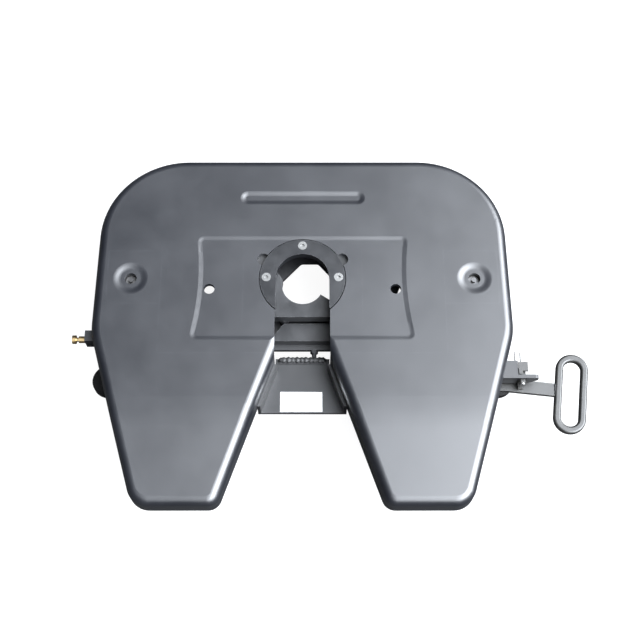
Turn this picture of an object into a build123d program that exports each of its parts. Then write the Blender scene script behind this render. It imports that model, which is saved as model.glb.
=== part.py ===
"""Fifth wheel hitch: pressed plate on two cast pedestals, with a hook jaw, lock bar and pull handle.

Frame: millimetres. +X to the handle side, +Y to the front of the vehicle, +Z up.
The origin is on the kingpin axis, on the upper face of the coupling plate.
"""
import math
import os

from build123d import *

# ---- coupling plate -------------------------------------------------------------------------
plate_thickness = 12.0
skirt_thickness = 10.0
skirt_depth = 62.0
bend_radius = 20.0
plate_front_y = 295.0
plate_front_half_width = 443.0
plate_middle_half_width = 449.0
plate_middle_y = -120.0
front_corner_radius = 190.0
middle_corner_radius = 150.0
leg_end_y = -490.0
leg_end_half_width = 344.0
leg_outer_corner_radius = 45.0
leg_inner_corner_radius = 28.0
leg_inner_half_width = 171.0
leg_slope_start_y = -298.0
leg_slope_drop = 18.0
leg_slope_blend_radius = 660.0
leg_skirt_depth = 72.0
throat_half_width = 59.0
throat_corner_y = -176.0
lifting_hole_radius = 11.5
lifting_hole_x = 200.0
lifting_hole_y = -25.0
pocket_depth = 1.2
pocket_wall_run = 10.0
groove_depth = 2.4
groove_wall_run = 12.0
groove_half_length = 138.0
groove_width = 34.0
groove_y = 196.0

# ---- wear ring ------------------------------------------------------------------------------
ring_outer_radius = 92.0
ring_bore_radius = 57.75
ring_gap = 2.0
ring_screw_radius = 6.0
ring_screw_head_radius = 9.8
ring_screw_pitch_radius = 78.0
ring_notch_radius = 14.0
ring_notch_angle = 28.0

# ---- lock ------------------------------------------------------------------------------------
kingpin_neck_radius = 44.45
kingpin_clearance = 0.35
seat_plate_thickness = 12.0
jaw_top_z = -37.0
jaw_thickness = 25.0
jaw_pin_radius = 20.0
jaw_pin_x = -105.0
jaw_pin_y = 22.0
jaw_boss_radius = 34.0
jaw_open_angle = 55.0
lug_radius = 10.0
lug_gap = 1.2
bar_top_z = -70.0
bar_bottom_z = -90.5
bar_front_y = -77.5
bar_rear_y = -118.0
bar_nose_x = -78.0
bar_shoulder_x = -41.0
housing_top_z = -91.0
housing_thickness = 10.0
slide_clearance = 0.4
running_clearance = 0.05
lever_pin_x = 230.0
lever_pin_y = 92.0
lever_pin_radius = 15.0
lever_drive_length = 190.0
lever_handle_length = 317.0
lever_half_angle = 21.6
lever_top_z = -48.0
lever_thickness = 12.0
lever_width = 34.0
drive_pin_radius = 8.0
handle_pin_radius = 8.0
spring_arm_length = 130.0
spring_anchor_x = 98.0
spring_anchor_y = 62.0
spring_z = -37.0
spring_coil_radius = 7.0
spring_wire_radius = 1.4

# ---- handle and catch ------------------------------------------------------------------------
handle_arm_width = 28.0
handle_arm_top_z = -70.0
handle_arm_thickness = 10.0
handle_loop_length = 178.0
handle_loop_width = 69.0
handle_rod = 16.0
handle_loop_x = 571.0
handle_loop_y = -238.0
handle_tilt = -7.5
arm_bend_x = 435.0
arm_bend_y = -218.0
arm_end_y = -230.0
catch_pin_x = 465.0
catch_pin_z = -48.0
catch_pin_radius = 5.0
catch_thickness = 6.0
bracket_front_y = -209.0
bracket_thickness = 8.0
bracket_top_z = -31.0
bracket_end_x = 498.0
catch_side_clearance = 0.4

# ---- pedestals -------------------------------------------------------------------------------
pivot_x = 370.0
pivot_z = -75.0
pivot_pin_radius = 21.0
sleeve_wall = 5.0
bush_wall = 6.0
eye_wall = 10.0
eye_width = 36.0
ear_gap = 3.0
ear_width = 16.0
foot_bottom_z = -190.0
foot_thickness = 16.0
foot_hole_radius = 8.75
foot_hole_half_y = 172.0
foot_hole_inner_x = 307.0
foot_hole_outer_x = 434.0
foot_lobe_radius = 36.0
bearing_bolt_radius = 12.0
dish_radius = 38.0
dish_floor_radius = 21.5
dish_depth = 3.0
dish_hole_radius = 13.0
bearing_bolt_top_z = -16.0
bearing_stud_radius = 5.0
bearing_stud_top_z = -9.0

# ---- sizes worked out from the ones above ------------------------------------------------------
seat_bottom_z = -plate_thickness - seat_plate_thickness
jaw_bottom_z = jaw_top_z - jaw_thickness
seat_radius = kingpin_neck_radius + kingpin_clearance
housing_bottom_z = housing_top_z - housing_thickness
lever_bottom_z = lever_top_z - lever_thickness
sleeve_outer_radius = pivot_pin_radius + running_clearance + sleeve_wall
bush_outer_radius = sleeve_outer_radius + bush_wall
eye_radius = bush_outer_radius + eye_wall
ear_inner_offset = eye_width / 2 + ear_gap
ear_outer_offset = ear_inner_offset + ear_width
pad_bottom_z = pivot_z + eye_radius + 1.5
jaw_lug_y = bar_front_y + lug_radius + lug_gap
ring_clear_radius = ring_outer_radius + ring_gap
handle_arm_bottom_z = handle_arm_top_z - handle_arm_thickness
bracket_rear_y = bracket_front_y - bracket_thickness


def block(x0, x1, y0, y1, z0, z1):
    """A box between two corners."""
    centre = ((x0 + x1) / 2, (y0 + y1) / 2, (z0 + z1) / 2)
    return Pos(*centre) * Box(abs(x1 - x0), abs(y1 - y0), abs(z1 - z0))


def rod_z(x, y, radius, z0, z1):
    """A round rod standing along Z."""
    return Pos(x, y, (z0 + z1) / 2) * Cylinder(radius, abs(z1 - z0))


def rod_x(x0, x1, y, z, radius):
    """A round rod lying along X."""
    return Pos((x0 + x1) / 2, y, z) * Rot(0, 90, 0) * Cylinder(radius, abs(x1 - x0))


def rod_y(x, y0, y1, z, radius):
    """A round rod lying along Y."""
    return Pos(x, (y0 + y1) / 2, z) * Rot(90, 0, 0) * Cylinder(radius, abs(y1 - y0))


def cone_z(x, y, bottom_radius, top_radius, z0, z1):
    """A cone frustum standing along Z."""
    return Pos(x, y, (z0 + z1) / 2) * Cone(bottom_radius, top_radius, abs(z1 - z0))


def hexagon_z(x, y, across_flats, z0, z1):
    """A hexagonal prism standing along Z."""
    profile = Pos(x, y) * RegularPolygon(across_flats / 2, 6, major_radius=False)
    return Pos(0, 0, min(z0, z1)) * extrude(profile, abs(z1 - z0))


def rounded_face(corners):
    """A flat face through the corners, each given as (x, y, radius)."""
    face = make_face(Polyline([(x, y) for x, y, _ in corners], close=True))
    for x, y, radius in corners:
        if radius > 0:
            vertex = face.vertices().sort_by_distance((x, y, 0))[0]
            face = fillet(vertex, radius)
    return face


def slab(face, z0, z1):
    """A flat face on the XY plane, thickened from z0 up to z1."""
    return Pos(0, 0, z0) * extrude(face, z1 - z0)


def side_profile(points, x0, x1, soft_corner=None, soft_radius=0.0):
    """A solid with the given (y, z) outline, running along X, with one corner rounded if asked."""
    face = make_face(Polyline(points, close=True))
    if soft_corner is not None:
        vertex = face.vertices().sort_by_distance((soft_corner[0], soft_corner[1], 0))[0]
        face = fillet(vertex, soft_radius)
    return Pos(x0, 0, 0) * extrude(Plane.YZ * face, x1 - x0)


def sloped_recess(face, depth, wall_run):
    """The space of a shallow recess whose soft wall runs in by wall_run over its depth."""
    sections = [face.faces()[0]]
    for share in (0.25, 0.5, 0.75, 1.0):
        drop = depth * (3 * share ** 2 - 2 * share ** 3)
        sections.append((Pos(0, 0, -drop) * offset(face, -wall_run * share)).faces()[0])
    return loft(sections[::-1]) + slab(face, 0.0, 5.0)


def soft_dish(x, y, floor_radius, rim_radius, depth):
    """The space of a round dish whose wall leaves the floor and meets the rim without an edge."""
    middle_radius = (floor_radius + rim_radius) / 2
    wall_points = [(floor_radius, -depth), (middle_radius, -depth / 2), (rim_radius, 0)]
    outline_edges = Line((0, -depth), (floor_radius, -depth))
    outline_edges += Spline(wall_points, tangents=[(1, 0), (1, 0)])
    outline_edges += Polyline([(rim_radius, 0), (rim_radius, 5), (0, 5), (0, -depth)])
    return Pos(x, y, 0) * revolve(Plane.XZ * make_face(outline_edges), Axis.Z)


def mirrored(corners):
    """The corners of the right half followed by those of the left half."""
    return corners + [(-x, y, radius) for x, y, radius in reversed(corners)]


def both_sides(solid):
    """A solid and its mirror image across the YZ plane."""
    return [solid, solid.mirror(Plane.YZ)]


def group(name, solids):
    """Several separate solids held in one node."""
    flat = []
    for item in solids:
        flat.extend(item.solids())
    part = Compound(children=flat)
    part.label = name
    return part


parts = {}

# ---- coupling plate: one pressing with a skirt, a throat and two sloping legs --------------------
leg_inner_lean = (leg_inner_half_width - throat_half_width) / (throat_corner_y - leg_end_y)
throat_apex_y = throat_corner_y + 0.5 * throat_half_width / leg_inner_lean
outline = mirrored([
    (plate_front_half_width, plate_front_y, front_corner_radius),
    (plate_middle_half_width, plate_middle_y, middle_corner_radius),
    (leg_end_half_width, leg_end_y, leg_outer_corner_radius),
    (leg_inner_half_width, leg_end_y, leg_inner_corner_radius),
    (throat_half_width * 0.5, throat_apex_y, 0.0),
])
outer_face = rounded_face(outline)
leg_end_z = -leg_slope_drop * (leg_end_y - 20 - leg_slope_start_y) / (leg_end_y - leg_slope_start_y)
envelope = side_profile([
    (400.0, 0.0),
    (leg_slope_start_y, 0.0),
    (leg_end_y - 20.0, leg_end_z),
    (leg_end_y - 20.0, -leg_skirt_depth),
    (throat_corner_y, -skirt_depth),
    (400.0, -skirt_depth),
], -500.0, 500.0, (leg_slope_start_y, 0.0), leg_slope_blend_radius)
hollow_profile = side_profile([
    (400.0, -plate_thickness),
    (leg_slope_start_y, -plate_thickness),
    (leg_end_y - 20.0, leg_end_z - plate_thickness),
    (leg_end_y - 20.0, -120.0),
    (400.0, -120.0),
], -500.0, 500.0, (leg_slope_start_y, -plate_thickness), leg_slope_blend_radius)
shell = slab(outer_face, -120.0, 10.0) & envelope
upper_edges = shell.edges().filter_by(lambda edge: edge.bounding_box().min.Z > leg_end_z - 1.0)
rim = []
for edge in upper_edges:
    extent = edge.bounding_box()
    crosses_leg = extent.size.Y < 0.5 and abs(edge.center().Y - leg_slope_start_y) < 60
    crosses_throat = extent.size.Y < 0.5 and abs(edge.center().Y - throat_apex_y) < 1
    if not crosses_leg and not crosses_throat:
        rim.append(edge)
shell = fillet(rim, bend_radius)
throat_slot = block(-throat_half_width, throat_half_width, throat_corner_y, -10, -130, 20)
hollow = slab(offset(outer_face, -skirt_thickness, kind=Kind.INTERSECTION), -120.0, 10.0) & hollow_profile
relief_x = throat_half_width + 16
throat_relief = block(-relief_x, relief_x, throat_corner_y + 4, -10, -120, -plate_thickness)
top_plate = shell - hollow - throat_relief - throat_slot
top_plate -= rod_z(0, 0, ring_clear_radius, -120, 10)
for side in (-1, 1):
    notch_x = side * (ring_outer_radius + 4) * math.cos(math.radians(ring_notch_angle))
    notch_y = (ring_outer_radius + 4) * math.sin(math.radians(ring_notch_angle))
    top_plate -= rod_z(notch_x, notch_y, ring_notch_radius, -60, 10)
    top_plate -= rod_z(side * lifting_hole_x, lifting_hole_y, lifting_hole_radius, -60, 10)
    top_plate -= soft_dish(side * pivot_x, 0, dish_floor_radius, dish_radius, dish_depth)
    top_plate -= rod_z(side * pivot_x, 0, dish_hole_radius, -60, 10)
pocket_outline = Polyline([(-231, 101), (231, 101)])
pocket_outline += ThreePointArc((231, 101), (224, -16), (241, -143))
pocket_outline += Polyline([(241, -143), (-241, -143)])
pocket_outline += ThreePointArc((-241, -143), (-224, -16), (-231, 101))
pocket = make_face(pocket_outline)
pocket = fillet(pocket.vertices(), 14.0)
top_plate -= sloped_recess(pocket, pocket_depth, pocket_wall_run)
groove = Pos(0, groove_y) * SlotOverall(2 * groove_half_length, groove_width)
top_plate -= sloped_recess(groove, groove_depth, groove_wall_run)
parts["top_plate"] = top_plate

# ---- stiffening ribs welded under the plate ------------------------------------------------------
under_space = slab(offset(outer_face, -skirt_thickness - 0.2, kind=Kind.INTERSECTION), -120.0, 10.0)
under_space = under_space & side_profile([
    (400.0, -plate_thickness),
    (leg_slope_start_y, -plate_thickness),
    (leg_end_y - 20.0, leg_end_z - plate_thickness),
    (leg_end_y - 20.0, -110.0),
    (400.0, -110.0),
], -500.0, 500.0, (leg_slope_start_y, -plate_thickness), leg_slope_blend_radius)
rib_solids = [block(-290, 290, 226, 236, -52, 0) & under_space]
for rib in (
    block(160, 170, 122, 226, -40, 0),
    block(104, 398, -240, -230, -36, 0),
    block(255, 265, -470, -256, -58, 0),
    block(300, 345, 58, 68, -34, 0),
):
    rib_solids += both_sides(rib & under_space)
parts["stiffener_ribs"] = group("stiffener_ribs", rib_solids)

# ---- wear ring let into the plate, with its countersunk screws -----------------------------------
wear_ring = rod_z(0, 0, ring_outer_radius, -plate_thickness, 0) - rod_z(0, 0, ring_bore_radius, -20, 5)
wear_ring -= block(-ring_bore_radius, ring_bore_radius, -200, 0, -20, 5)
wear_ring &= block(-200, 200, -ring_outer_radius * 0.75, 200, -20, 5)
screw_places = [
    (0.0, ring_screw_pitch_radius),
    (-ring_screw_pitch_radius, 2.5),
    (ring_screw_pitch_radius, 2.5),
]
seat_face = rounded_face([
    (-150, 115, 20),
    (150, 115, 20),
    (150, -131, 12),
    (-174, -131, 12),
    (-174, -92, 12),
    (-150, -60, 12),
])
seat_plate = slab(seat_face, seat_bottom_z, -plate_thickness)
seat_plate -= rod_z(0, 0, ring_bore_radius + 2.5, -40, 0)
seat_plate -= block(-throat_half_width - 1, throat_half_width + 1, -200, 0, -40, 0)
ring_screws = []
for x, y in screw_places:
    wear_ring -= rod_z(x, y, ring_screw_radius + 0.6, -20, 5)
    wear_ring -= cone_z(x, y, ring_screw_radius + 0.9, ring_screw_head_radius + 0.8, -4.8, 0)
    seat_plate -= rod_z(x, y, ring_screw_radius, -40, 0)
    screw = rod_z(x, y, ring_screw_radius, seat_bottom_z + 1, -4)
    screw += cone_z(x, y, ring_screw_radius, ring_screw_head_radius, -4.7, -0.4)
    screw -= hexagon_z(x, y, 8.0, -4.0, 1)
    ring_screws.append(screw)
parts["wear_ring"] = wear_ring
parts["wear_ring_screws"] = group("wear_ring_screws", ring_screws)

# ---- lock housing: seat plate above, housing plate below, spacers and bolts between --------------
housing_face = rounded_face([
    (-150, 110, 20),
    (150, 110, 20),
    (150, -131, 12),
    (-174, -131, 12),
    (-174, -92, 12),
    (-150, -60, 12),
])
lock_housing = slab(housing_face, housing_bottom_z, housing_top_z)
opening_size = ring_bore_radius + 4
opening = rounded_face([
    (-4, opening_size + 18, 10),
    (34, opening_size + 18, 10),
    (opening_size, opening_size - 14, 10),
    (opening_size, -opening_size, 10),
    (-opening_size, -opening_size, 10),
    (-opening_size, opening_size - 44, 10),
])
lock_housing -= slab(opening, -120, -80)
spacer_solids = []
bolt_places = [(-125.0, 88.0), (125.0, 88.0), (-154.0, -112.0), (112.0, -60.0)]
for x, y in bolt_places:
    spacer_solids.append(rod_z(x, y, 17, housing_top_z, seat_bottom_z) - rod_z(x, y, 8.5, -130, 0))
    seat_plate -= rod_z(x, y, 8.0, -40, 0)
    lock_housing -= rod_z(x, y, 8.5, -120, -80)
parts["housing_spacers"] = group("housing_spacers", spacer_solids)
bolt_solids = []
for x, y in bolt_places:
    bolt = rod_z(x, y, 8.0, housing_bottom_z - 1, seat_bottom_z + 11)
    bolt += hexagon_z(x, y, 24.0, housing_bottom_z - 10, housing_bottom_z)
    bolt_solids.append(bolt)
parts["housing_bolts"] = group("housing_bolts", bolt_solids)

# ---- guides that the lock bar slides in ----------------------------------------------------------
guide_right = block(70, 128, bar_rear_y - 12, bar_front_y + 8, housing_top_z, -64)
channel_top_z = bar_top_z + slide_clearance
channel_rear_y = bar_rear_y - slide_clearance
guide_right -= block(60, 140, channel_rear_y, bar_front_y + slide_clearance, -95, channel_top_z)
guide_right -= rod_z(112, -60, 17.5, -95, -60)
parts["bar_guide_right"] = guide_right
tongue_front_y = bar_rear_y + 12.0
guide_left = block(-100, -64, bar_rear_y - 12, tongue_front_y + 7.5, housing_top_z, -64)
guide_left -= block(-110, -60, channel_rear_y, tongue_front_y + slide_clearance, -95, channel_top_z)
parts["bar_guide_left"] = guide_left

# ---- jaw on its pin ------------------------------------------------------------------------------
jaw_face = rounded_face([
    (jaw_pin_x - 26, jaw_pin_y + 12, 10),
    (-112, -34, 20),
    (-86, -68, 16),
    (-62, -75.5, 8),
    (56, -75.5, 6),
    (66, -70, 5),
    (66, -40, 8),
    (42, -24, 9),
    (0, 0, 0),
    (-44, 12, 0),
    (-60, 40, 8),
    (jaw_pin_x + 14, jaw_pin_y + 30, 10),
])
jaw = slab(jaw_face, jaw_bottom_z, jaw_top_z)
jaw += rod_z(jaw_pin_x, jaw_pin_y, jaw_boss_radius, housing_top_z + 1, seat_bottom_z - 1)
jaw -= rod_z(0, 0, seat_radius, -120, 0)
jaw += rod_z(bar_shoulder_x + 1, jaw_lug_y, lug_radius, -83, jaw_bottom_z)
jaw -= rod_z(jaw_pin_x, jaw_pin_y, jaw_pin_radius + running_clearance, -130, 0)
parts["jaw"] = jaw
jaw_pin = rod_z(jaw_pin_x, jaw_pin_y, jaw_pin_radius, housing_bottom_z, -plate_thickness)
jaw_pin += rod_z(jaw_pin_x, jaw_pin_y, jaw_pin_radius + 7, housing_bottom_z - 8, housing_bottom_z)
parts["jaw_pin"] = jaw_pin
seat_plate -= rod_z(jaw_pin_x, jaw_pin_y, jaw_pin_radius, -40, 0)
lock_housing -= rod_z(jaw_pin_x, jaw_pin_y, jaw_pin_radius, -120, -80)

# ---- lever on its pin, tilted to its locked position ---------------------------------------------
def lever_point(length):
    """The (x, y) place on the lever's centre line at a length from its pin, when locked."""
    angle = math.radians(lever_half_angle)
    return lever_pin_x - length * math.sin(angle), lever_pin_y - length * math.cos(angle)


drive_x, drive_y = lever_point(lever_drive_length)
handle_pin_x, handle_pin_y = lever_point(lever_handle_length)
hook_x, hook_y = lever_point(spring_arm_length)
lever_face = Rot(0, 0, 90) * SlotCenterToCenter(lever_handle_length, lever_width)
lever_face = Pos(0, -lever_handle_length / 2) * lever_face
lever_face += Circle(30)
lever_face = Pos(lever_pin_x, lever_pin_y) * Rot(0, 0, -lever_half_angle) * lever_face
lever = slab(lever_face, lever_bottom_z, lever_top_z)
lever -= rod_z(lever_pin_x, lever_pin_y, lever_pin_radius + running_clearance, -90, 0)
lever -= rod_z(drive_x, drive_y, drive_pin_radius, -90, 0)
lever -= rod_z(handle_pin_x, handle_pin_y, handle_pin_radius + running_clearance, -90, 0)
lever -= rod_z(hook_x, hook_y, 4.0, -90, 0)
parts["lever"] = lever
drive_pin = rod_z(drive_x, drive_y, drive_pin_radius, bar_bottom_z + 1.5, lever_top_z)
drive_pin += rod_z(drive_x, drive_y, drive_pin_radius + 4, lever_top_z, lever_top_z + 4)
parts["drive_pin"] = drive_pin
spring_stud = rod_z(hook_x, hook_y, 4.0, lever_bottom_z, spring_z + 5)
spring_stud += rod_z(hook_x, hook_y, 6.0, spring_z + 3, spring_z + 5)
parts["spring_stud"] = spring_stud
lever_pin = rod_z(lever_pin_x, lever_pin_y, lever_pin_radius + 19, -plate_thickness - 12, -plate_thickness)
lever_pin += rod_z(lever_pin_x, lever_pin_y, lever_pin_radius + 7, lever_top_z + 0.5, -plate_thickness - 12)
lever_pin += rod_z(lever_pin_x, lever_pin_y, lever_pin_radius, lever_bottom_z - 18, -plate_thickness - 12)
parts["lever_pin"] = lever_pin
nut_top_z = lever_bottom_z - 0.5
lever_nut = rod_z(lever_pin_x, lever_pin_y, lever_pin_radius + 10, nut_top_z - 3, nut_top_z)
lever_nut += hexagon_z(lever_pin_x, lever_pin_y, 44, nut_top_z - 14.5, nut_top_z - 3)
lever_nut -= rod_z(lever_pin_x, lever_pin_y, lever_pin_radius, -100, 0)
parts["lever_nut"] = lever_nut

# ---- lock bar, with a cross slot that the lever's drive pin works in -----------------------------
bar_face = rounded_face([
    (bar_nose_x, bar_rear_y, 3),
    (bar_nose_x, tongue_front_y, 3),
    (bar_shoulder_x - 22, tongue_front_y, 2),
    (bar_shoulder_x, bar_front_y, 0),
    (138, bar_front_y, 2),
    (142, -60, 6),
    (184, -60, 8),
    (184, -124, 8),
    (142, -124, 6),
    (138, bar_rear_y, 2),
])
lock_bar = slab(bar_face, bar_bottom_z, bar_top_z)
sweep_y = lever_pin_y - lever_drive_length
slot_centre_y = (drive_y + sweep_y) / 2
slot_length = drive_y - sweep_y + 2 * drive_pin_radius + 3
slot_face = Rot(0, 0, 90) * SlotOverall(slot_length, 2 * drive_pin_radius + 2.0)
slot_face = Pos(drive_x, slot_centre_y) * slot_face
lock_bar -= slab(slot_face, -120, -60)
parts["lock_bar"] = lock_bar

# ---- closing spring between the seat plate and the lever -----------------------------------------
spring_post = rod_z(spring_anchor_x, spring_anchor_y, 4.0, spring_z - 6, -plate_thickness)
spring_post += rod_z(spring_anchor_x, spring_anchor_y, 6.0, spring_z - 6, spring_z - 4)
seat_plate -= rod_z(spring_anchor_x, spring_anchor_y, 4.0, -40, 0)
parts["spring_post"] = spring_post
span_x = hook_x - spring_anchor_x
span_y = hook_y - spring_anchor_y
spring_span = math.hypot(span_x, span_y)
spring_heading = math.degrees(math.atan2(span_y, span_x))
eye_length = 18.0
coil_length = spring_span - 2 * eye_length
helix = Helix(pitch=4.4, height=coil_length, radius=spring_coil_radius)
coil = sweep(Plane(helix @ 0, z_dir=helix % 0) * Circle(spring_wire_radius), helix, is_frenet=True)
end_loop = Torus(7.0, spring_wire_radius)
tail = Rot(0, 90, 0) * Cylinder(spring_wire_radius, eye_length - 6.0)
near_end = Pos(0, 0, 0) * end_loop + Pos(7.0 + (eye_length - 6.0) / 2 - 0.5, 0, 0) * tail
far_end = Pos(spring_span, 0, 0) * Rot(0, 0, 180) * near_end
closing_spring = Pos(eye_length, 0, 0) * Rot(0, 90, 0) * coil
place = Pos(spring_anchor_x, spring_anchor_y, spring_z) * Rot(0, 0, spring_heading)
link_near = Pos(eye_length, 0, -spring_coil_radius / 2) * Cylinder(spring_wire_radius, spring_coil_radius)
link_far = Pos(coil_length, 0, 0) * link_near
closing_spring = place * (closing_spring + near_end + far_end + link_near + link_far)
parts["closing_spring"] = closing_spring

parts["seat_plate"] = seat_plate
parts["lock_housing"] = lock_housing

# ---- pull handle: flat arm, pin and bent loop ----------------------------------------------------
loop_back_x = handle_loop_x - handle_loop_width / 2
half = handle_arm_width / 2
arm_face = make_face(Polyline([
    (handle_pin_x, handle_pin_y - half),
    (arm_bend_x, arm_bend_y - half),
    (loop_back_x + 8.0, arm_end_y - half),
    (loop_back_x + 8.0, arm_end_y + half),
    (arm_bend_x, arm_bend_y + half),
    (handle_pin_x, handle_pin_y + half),
], close=True))
arm_face += Pos(handle_pin_x, handle_pin_y) * Circle(half)
handle_arm = slab(arm_face, handle_arm_bottom_z, handle_arm_top_z)
handle_arm -= rod_z(handle_pin_x, handle_pin_y, handle_pin_radius, -100, 0)
loop_placement = Pos(handle_loop_x, handle_loop_y, 0) * Rot(0, 0, 90 + handle_tilt)
loop_face = loop_placement * SlotOverall(handle_loop_length, handle_loop_width)
hole_length = handle_loop_length - 2 * handle_rod
loop_hole = loop_placement * SlotOverall(hole_length, handle_loop_width - 2 * handle_rod)
loop_top_z = (handle_arm_top_z + handle_arm_bottom_z) / 2 + handle_rod / 2
loop_solid = slab(loop_face, loop_top_z - handle_rod, loop_top_z)
handle_arm -= loop_solid
handle_loop = slab(loop_face - loop_hole, loop_top_z - handle_rod, loop_top_z)
loop_edges = []
for edge in handle_loop.edges():
    if edge.bounding_box().size.Z < 0.01:
        loop_edges.append(edge)
handle_loop = fillet(loop_edges, 5.0) - handle_arm
parts["handle_arm"] = handle_arm
parts["handle_loop"] = handle_loop
handle_pin = rod_z(handle_pin_x, handle_pin_y, handle_pin_radius, handle_arm_bottom_z, lever_top_z + 4)
handle_pin += rod_z(handle_pin_x, handle_pin_y, 13, handle_arm_top_z, lever_bottom_z - 0.4)
handle_pin += rod_z(handle_pin_x, handle_pin_y, 13, lever_top_z + 0.4, lever_top_z + 4)
parts["handle_pin"] = handle_pin

# ---- bracket that carries the safety catch above the handle arm ----------------------------------
bracket_face = rounded_face([
    (405, bracket_top_z, 0),
    (bracket_end_x, bracket_top_z, 6),
    (bracket_end_x, bracket_top_z - 14, 6),
    (478, handle_arm_top_z + 6, 4),
    (405, handle_arm_top_z + 6, 0),
])
bracket = Pos(0, bracket_front_y, 0) * extrude(Plane.XZ * bracket_face, bracket_thickness)
flange_end_x = catch_pin_x - 9.5
flange_bottom_z = bracket_top_z - 6
bracket += block(405, flange_end_x, bracket_front_y - 1, bracket_front_y + 31, flange_bottom_z, bracket_top_z)
bracket -= slab(outer_face, -120, 10)
bracket -= rod_y(catch_pin_x, -260, -150, catch_pin_z, catch_pin_radius + running_clearance)
parts["guide_bracket"] = bracket
catch_front_y = bracket_rear_y - catch_side_clearance
catch_rear_y = catch_front_y - catch_thickness
finger_bottom_z = handle_arm_top_z + 1.0
catch_face = rounded_face([
    (catch_pin_x - 10, catch_pin_z + 2, 3),
    (catch_pin_x - 5, catch_pin_z + 9, 4),
    (catch_pin_x + 5, catch_pin_z + 9, 4),
    (catch_pin_x + 10, catch_pin_z + 2, 3),
    (catch_pin_x + 3, finger_bottom_z, 0),
    (catch_pin_x - 7, finger_bottom_z, 0),
])
safety_catch = Pos(0, catch_front_y, 0) * extrude(Plane.XZ * catch_face, catch_thickness)
toe_front_y = catch_rear_y + 1
safety_catch += block(
    catch_pin_x - 7, catch_pin_x + 3, catch_rear_y - 6, toe_front_y, finger_bottom_z, finger_bottom_z + 7,
)
safety_catch -= rod_y(catch_pin_x, -260, -150, catch_pin_z, catch_pin_radius)
parts["safety_catch"] = safety_catch
thumb_rear_y = bracket_front_y + catch_side_clearance
catch_thumb = rod_y(catch_pin_x, thumb_rear_y, thumb_rear_y + 7, catch_pin_z, 8.5)
thumb_left_x = catch_pin_x - 8.5
thumb_top_z = bracket_top_z + 3
catch_thumb += block(thumb_left_x, thumb_left_x + 7, thumb_rear_y, thumb_rear_y + 8, catch_pin_z, thumb_top_z)
catch_thumb += block(
    thumb_left_x, catch_pin_x + 11, thumb_rear_y + 7, thumb_rear_y + 27, thumb_top_z - 6, thumb_top_z,
)
catch_thumb -= rod_y(catch_pin_x, -260, -150, catch_pin_z, catch_pin_radius)
parts["catch_thumb"] = catch_thumb
catch_pin = rod_y(catch_pin_x, catch_rear_y - 3.5, thumb_rear_y + 22, catch_pin_z, catch_pin_radius)
catch_pin += rod_y(catch_pin_x, catch_rear_y - 3.5, catch_rear_y, catch_pin_z, 6.8)
parts["catch_pin"] = catch_pin

# ---- torsion spring of the safety catch ----------------------------------------------------------
wire = 1.3
ring_y = thumb_rear_y + 13.5
coil_top_z = catch_pin_z + 7.0
leg_tip_y = bracket_front_y + 53
catch_spring = rod_y(catch_pin_x, ring_y - 4.5, ring_y + 4.5, catch_pin_z, 8.3)
catch_spring -= rod_y(catch_pin_x, ring_y - 9, ring_y + 9, catch_pin_z, 5.7)
catch_spring += rod_y(catch_pin_x - 2, ring_y, leg_tip_y, coil_top_z, wire)
catch_spring += rod_x(catch_pin_x - 14 - wire, catch_pin_x - 2, ring_y + 2, coil_top_z, wire)
catch_spring += rod_z(catch_pin_x - 14, ring_y + 2, wire, coil_top_z - wire, flange_bottom_z)
catch_spring += rod_y(catch_pin_x - 14, ring_y + 2, leg_tip_y, flange_bottom_z - wire, wire)
parts["catch_spring"] = catch_spring

# ---- cross plate in the throat, its blank label and the adjusting screw --------------------------
def throat_x(y):
    """Half the clear width between the legs at a place along the plate."""
    share = (throat_corner_y - y) / (throat_corner_y - leg_end_y)
    return throat_half_width + share * (leg_inner_half_width - throat_half_width)


cross_front_y = -153.0
cross_rear_y = -276.0
cross_top_z = -88.0
tray_outer = rounded_face(mirrored([
    (throat_half_width - 0.6, cross_front_y, 0),
    (throat_half_width - 0.6, throat_corner_y, 0),
    (throat_x(cross_rear_y) - 0.6, cross_rear_y, 0),
]))
tray_inner = rounded_face(mirrored([
    (throat_half_width - 7, cross_front_y + 30, 0),
    (throat_half_width - 7, throat_corner_y, 0),
    (throat_x(cross_rear_y - 30) - 7, cross_rear_y - 30, 0),
]))
cross_plate = slab(tray_outer, cross_top_z - 8, -42) - slab(tray_inner, cross_top_z, 0)
cross_plate -= block(-100, 100, throat_corner_y - 6, -100, cross_top_z, 0)
cross_plate += block(-50, 50, cross_front_y - 12, cross_front_y, cross_top_z, cross_top_z + 4)
parts["cross_plate"] = cross_plate
parts["blank_label"] = block(-47, 42, -273, -229, cross_top_z, cross_top_z + 0.6)
screw_x = 25.0
screw_z = -96.0
adjusting_screw = rod_y(screw_x, -151, -120, screw_z, 5)
screw_hexagon = Plane.XZ * (Pos(screw_x, screw_z) * RegularPolygon(8.5, 6))
adjusting_screw += Pos(0, -149, 0) * extrude(screw_hexagon, 3.6)
parts["adjusting_screw"] = adjusting_screw
lock_nut = Pos(0, -131, 0) * extrude(screw_hexagon, 7)
lock_nut -= rod_y(screw_x, -160, -100, screw_z, 5)
parts["adjusting_locknut"] = lock_nut
parts["lock_housing"] = parts["lock_housing"] - rod_y(screw_x, -151, -120, screw_z, 5)

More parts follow.
